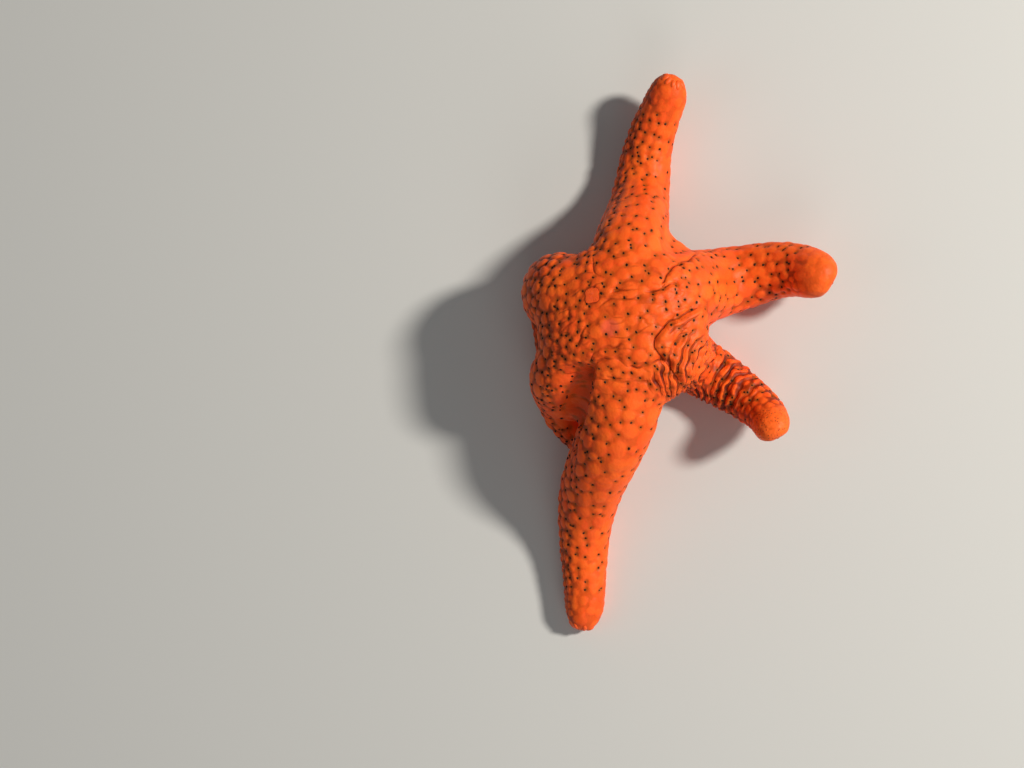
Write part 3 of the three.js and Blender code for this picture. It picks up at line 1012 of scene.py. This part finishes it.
# Two rows of tube feet stand in every groove: soft columns that end in a sucker
footForm = {
    "steps": [(0.35, 0.85), (0.35, 0.95), (0.14, 1.0), (0.06, 1.75), (0.07, 1.05), (0.03, 0.7)], "sides": 8,
    "from": 2.6, "stagger": 0.36, "short": 2.0, "step": 0.72, "across": 0.11, "depth": 0.33, "wide": 0.13,
    "usualHalf": 2.4, "least": 0.2, "clear": 0.03, "tilt": 0.12,
}


def makeFeet():
    places = []
    for arm in arms:
        for sign in (-1, 1):
            s = footForm["from"] + (footForm["stagger"] if sign > 0 else 0)
            while s < arm["length"] - footForm["short"]:
                half = float(along(arm, "half", s))
                depth = footForm["depth"] * half
                sole = -form["sole"] * form["tall"] * half
                top = Vector(placed(arm, s, sign * footForm["across"] * half, sole + depth))
                tilt = Vector([random.uniform(-1, 1) * footForm["tilt"] for _ in range(3)])
                down = (-Vector(along(arm, "upright", s)) + tilt).normalized()
                long = depth * random.uniform(0.85, 1.15)
                if top.z + down.z * long < footForm["clear"]:
                    long = (top.z - footForm["clear"]) / max(-down.z, 0.2)
                wide = footForm["wide"] * min(half / footForm["usualHalf"], 1)
                if long > footForm["least"]:
                    places.append(standing(top, down, Vector(along(arm, "along", s)), (wide, wide, long)))
                s += footForm["step"] * random.uniform(0.92, 1.08)
    return joinCopies("tubeFeet", columnShape("foot", footForm["sides"], footForm["steps"]), places)


# A small red eye at the end of each arm, just above its groove
eyespot = {"long": 0.15, "wide": 0.195, "high": 0.075, "back": 1.4, "ahead": 0.25}


def makeEyes():
    places = []
    for arm in arms:
        at = arm["length"] - eyespot["back"]
        centre = Vector(along(arm, "centre", at))
        ray = Vector(along(arm, "along", at)) * eyespot["ahead"] - Vector(along(arm, "upright", at))
        point, normal, _, _ = shapedTree.ray_cast(centre, ray.normalized(), 4)
        if point is not None:
            scale = (eyespot["wide"], eyespot["long"], eyespot["high"])
            places.append(standing(point, normal, Vector(along(arm, "sideways", at)), scale))
    return joinCopies("eyespots", ballShape(), places)


mouthMembrane = makeMouth()
jaws, jawSpines = makeJaws()
grooveSpines = makeSpines(jawSpines)
tubeFeet = makeFeet()
eyespots = makeEyes()
print("groove spines:", len(grooveSpines.data.polygons), "faces")
print("tube feet:", len(tubeFeet.data.polygons), "faces")


# Materials

def linear(code):
    parts = [int(code[i:i + 2], 16) / 255 for i in (1, 3, 5)]
    return tuple(p / 12.92 if p <= 0.04045 else ((p + 0.055) / 1.055) ** 2.4 for p in parts) + (1,)


# Adds a node, fills its sockets in their order with values or links, and gives back one of its outputs
def addNode(tree, kind, values=(), output=None, **settings):
    made = tree.nodes.new("ShaderNode" + kind)
    for name, value in settings.items():
        setattr(made, name, value)
    for socket, value in zip([socket for socket in made.inputs if socket.enabled], values):
        if isinstance(value, bpy.types.NodeSocket):
            tree.links.new(value, socket)
        else:
            socket.default_value = value
    return made.outputs[output] if output else next(socket for socket in made.outputs if socket.enabled)


def setInputs(node, values):
    for name, value in values.items():
        node.inputs[name].default_value = value


def newMaterial(name):
    material = bpy.data.materials.new(name)
    material.use_nodes = True
    tree = material.node_tree
    return material, tree, tree.nodes["Principled BSDF"]


skinLook = {
    # gapShadeColour is painted shade for the gaps between plates
    "plate": "#fc5a1a", "plateRed": "#f64c18", "plateWarm": "#fe6c1e", "gap": "#e25415", "gapShadeColour": "#6a1c0a",
    # fold is painted shade for creases, rib valleys, wrinkles and the dots at the tips
    "fold": "#5c1608", "halo": "#a05012", "pink": "#f26048", "oral": "#f09060", "tip": "#ff6a22",
    # granuleGapShade is painted shade for the ground between the tip granules
    "granuleGapShade": "#c8480e", "roughness": 0.5,
    # sizes of the patterns in millimetres
    "mottle": 2.4, "wrinklePatch": 1.6, "wrinkle": 1.15, "ribWaver": 0.8, "fine": 0.5, "dot": 0.29,
    "grains": 0.27, "granule": 0.22,
}


# Starfish body wall: a thin wet cuticle over limy plates, so satin with a soft broad gloss
def bodyWallMaterial():
    material, tree, shader = newMaterial("wetBodyWall")
    add = partial(addNode, tree)
    place = add("TexCoord", output="Object")
    mask = {name: add("Attribute", output="Fac", attribute_name=name) for name in skinMasks}
    shade = {name: linear(value) for name, value in skinLook.items() if isinstance(value, str)}
    scale = {name: 1 / (value * mm) for name, value in skinLook.items() if not isinstance(value, str)}
    step = {"interpolation_type": "SMOOTHSTEP"}
    grains = add("TexVoronoi", [place, scale["grains"]], feature="SMOOTH_F1")

    # the folds' bottoms, the ribs' valleys, and the fine wrinkles where a turned cloud crosses its middle,
    # each sunk in the bump and darkened with painted shade
    fromFold = add("Math", [mask["foldAway"]], operation="ABSOLUTE")
    foldLine = add("MapRange", [fromFold, 0.01, 0.15, mask["foldShare"], 0], **step)
    waver = add("TexNoise", [place, scale["ribWaver"], 1])
    swing = add("Math", [waver, 0.3, mask["ribPhase"]], operation="MULTIPLY_ADD")
    swing = add("Math", [swing, 2 * math.pi], operation="MULTIPLY")
    swing = add("Math", [swing], operation="COSINE")
    ribLine = add("MapRange", [swing, -0.1, 1, 0, mask["ribShare"]], **step)
    turned = add("Mapping", [place, (0, 0, 0), (0, 0, -0.3), (0.35, 1, 1)])
    crossing = add("Math", [add("TexNoise", [turned, scale["wrinkle"], 1]), 0.5], operation="SUBTRACT")
    crossing = add("Math", [crossing], operation="ABSOLUTE")
    patch = add("TexNoise", [place, scale["wrinklePatch"], 0])
    patch = add("MapRange", [patch, 0.42, 0.6, 0, mask["discBack"]], **step)
    wrinkle = add("MapRange", [crossing, 0, 0.08, patch, 0], **step)

    # plates of three oranges over gaps darkened with painted shade, most on the beaded flanks away from the
    # key light
    mottle = add("TexNoise", [place, scale["mottle"], 3])
    warmth = add("MapRange", [mottle, 0.35, 0.75, 0, 0.6], **step)
    warmth = add("Math", [warmth, add("MapRange", [mask["plate"], 0.6, 1, 0, 0.25], **step)], operation="ADD")
    redness = add("MapRange", [mask["tone"], -1, 1], **step)
    plate = add("Mix", [redness, shade["plateRed"], shade["plate"]], data_type="RGBA")
    plate = add("Mix", [warmth, plate, shade["plateWarm"]], data_type="RGBA")
    gap = add("Mix", [mask["paintedGapShade"], shade["gap"], shade["gapShadeColour"]], data_type="RGBA")
    onPlate = add("MapRange", [mask["plate"], 0, 1], **step)

    # granules at the arms' ends, with painted shade on the ground between them and dark dots of painted shade
    # in small pits
    dots = add("TexVoronoi", [place, scale["dot"]])
    dot = add("MapRange", [mask["tip"], 0.4, 0.8], **step)
    dot = add("MapRange", [dots, 0.16, 0.34, dot, 0], **step)
    granuleGapShade = add("MapRange", [grains, 0.42, 0.78, 0, 0.6], **step)
    tipShade = add("Mix", [granuleGapShade, shade["tip"], shade["granuleGapShade"]], data_type="RGBA")
    pitShadeShare = add("Math", [dot, 0.62], operation="MULTIPLY")
    tipShade = add("Mix", [pitShadeShare, tipShade, shade["fold"]], data_type="RGBA")

    creaseShade = add("Math", [foldLine, ribLine], operation="MAXIMUM")
    colour = gap
    for share, layer in (
        (onPlate, plate),
        (add("MapRange", [mask["tip"], 0, 1, 0, 0.9], **step), tipShade),
        (add("MapRange", [mask["pink"], 0, 1, 0, 0.5], **step), shade["pink"]),
        (add("MapRange", [mask["oral"], 0, 1, 0, 0.85], **step), shade["oral"]),
        # painted shade in the wrinkles and along the fold and rib lines
        (add("Math", [wrinkle, 0.22], operation="MULTIPLY"), shade["fold"]),
        (add("Math", [creaseShade, 0.85], operation="MULTIPLY"), shade["fold"]),
        (add("MapRange", [mask["poreHalo"], 0.1, 0.85, 0, 0.6], **step), shade["halo"]),
    ):
        colour = add("Mix", [share, colour, layer], data_type="RGBA")

    # heights in millimetres
    pitted = add("Math", [add("Math", [grains, 2.5], operation="POWER"), mask["tip"]], operation="MULTIPLY")
    relief = 0
    for pattern, height in (
        (add("TexVoronoi", [place, scale["granule"]], feature="SMOOTH_F1"), -0.012),
        (add("TexNoise", [place, scale["fine"], 3]), 0.06),
        (foldLine, -0.12), (ribLine, -0.12), (wrinkle, -0.05), (pitted, -0.08), (dot, -0.03),
    ):
        relief = add("Math", [pattern, height, relief], operation="MULTIPLY_ADD")
    bump = add("Bump", [1, mm, 0.1, relief])
    tree.links.new(colour, shader.inputs["Base Color"])
    tree.links.new(bump, shader.inputs["Normal"])
    setInputs(shader, {
        "Roughness": skinLook["roughness"], "IOR": 1.38, "Specular IOR Level": 0.3,
        "Subsurface Weight": 0.06, "Subsurface Radius": (1.0, 0.2, 0.08), "Subsurface Scale": 0.4 * mm,
    })
    return material


# A plain material with a little mottling between two colours, of a size in millimetres
def mottledMaterial(name, first, second, size, roughness, soft=0.0, gloss=0.3):
    material, tree, shader = newMaterial(name)
    place = addNode(tree, "TexCoord", output="Object")
    mottle = addNode(tree, "TexNoise", [place, 1 / (size * mm), 3])
    colour = addNode(tree, "Mix", [mottle, linear(first), linear(second)], data_type="RGBA")
    tree.links.new(colour, shader.inputs["Base Color"])
    setInputs(shader, {
        "Roughness": roughness, "Specular IOR Level": gloss,
        "Subsurface Weight": soft, "Subsurface Radius": (1.0, 0.3, 0.15), "Subsurface Scale": 0.3 * mm,
    })
    return material


skin.data.materials.append(bodyWallMaterial())
for piece, look in (
    # Papulae: thin wet gill skin, coloured nearly black, partly as painted shade of its pit
    (papulae, ("gillSkinAndPitShade", "#1c0e06", "#341a0a", 0.6, 0.5, 0.0, 0.15)),
    # Madreporite: bare limy plate, a little duller than the wall
    (madreporitePlate, ("groovedLimyPlate", "#fa4c18", "#ff6a24", 0.35, 0.5)),
    # Tip ridges: the same skin as the wall, drawn tight over small limy plates
    (tipRidges, ("tightSkin", "#f45216", "#fc621e", 0.5, 0.5)),
    # Underside: pale soft mouth membrane, limy jaws and spines in thin skin, and wet see-through tube feet
    (mouthMembrane, ("softMouthMembrane", "#8a4026", "#d08458", 0.5, 0.45, 0.1)),
    (jaws, ("skinnedJawPlate", "#ea8048", "#f29a62", 0.4, 0.5, 0.05)),
    (grooveSpines, ("skinnedLimySpine", "#ee8a50", "#f8ac78", 0.4, 0.5, 0.05)),
    (tubeFeet, ("wetTubeFoot", "#f2b078", "#fccf9c", 0.4, 0.3, 0.25)),
    # Eyespots: dense red pigment under thin skin
    (eyespots, ("redEyePigment", "#6e0c0c", "#98201a", 0.2, 0.35)),
):
    piece.data.materials.append(mottledMaterial(*look))


# Floor, light and camera

stage = {
    "floor": 600, "sky": (0.9, 0.95, 1.0, 1), "skyPower": 0.14,
    # each lamp: its place, size, power and colour
    "lamps": {
        "key": ((305, 85, 225), 50, 1.75, (1.0, 0.97, 0.92)),
        "fill": ((-320, -80, 260), 260, 0.08, (0.9, 0.95, 1.0)),
        "rim": ((120, -320, 200), 240, 0.24, (1.0, 1.0, 1.0)),
    },
}
view = {"lean": 15, "away": 170, "left": 10.476, "below": 5.333, "lens": 62.77, "sensor": 36}


def addLight(name, place, size, power, colour):
    lamp = bpy.data.lights.new(name, "AREA")
    lamp.shape, lamp.size, lamp.energy, lamp.color = "DISK", size * mm, power, colour
    light = bpy.data.objects.new(name, lamp)
    light.location = Vector(place) * mm
    light.rotation_euler = (-Vector(place)).to_track_quat("-Z", "Y").to_euler()
    world.link(light)


def makeStage():
    bm = bmesh.new()
    bmesh.ops.create_grid(bm, x_segments=1, y_segments=1, size=stage["floor"] * mm)
    floor = objectOf(bm, "floor")
    material, _, shader = newMaterial("paleMattBoard")
    setInputs(shader, {"Base Color": linear("#d8d6d0"), "Roughness": 0.9})
    floor.data.materials.append(material)
    for name, lamp in stage["lamps"].items():
        addLight(name, *lamp)
    sky = bpy.data.worlds.new("softRoom")
    sky.use_nodes = True
    setInputs(sky.node_tree.nodes["Background"], {"Color": stage["sky"], "Strength": stage["skyPower"]})
    bpy.context.scene.world = sky
    bpy.context.scene.view_settings.view_transform = "Standard"


# The camera looks down on the back, leaning a little from the side of arms 2 and 3, and aims to the left
# of the disc and below it
def makeCamera():
    lean = math.radians(view["lean"])
    right, up = Vector((math.cos(lean), 0, -math.sin(lean))), Vector((0, 1, 0))
    back = right.cross(up)
    aim = Vector((0, 0, form["discHeight"])) - right * view["left"] - up * view["below"]
    camera = bpy.data.objects.new("camera", bpy.data.cameras.new("camera"))
    camera.data.lens, camera.data.sensor_width = view["lens"], view["sensor"]
    camera.data.clip_start, camera.data.clip_end = 0.005, 5
    turn = Matrix((right, up, back)).transposed().to_4x4()
    camera.matrix_world = Matrix.Translation(toFrame @ (aim + back * view["away"])) @ turn
    world.link(camera)
    bpy.context.scene.camera = camera


makeStage()
makeCamera()
print("finished")
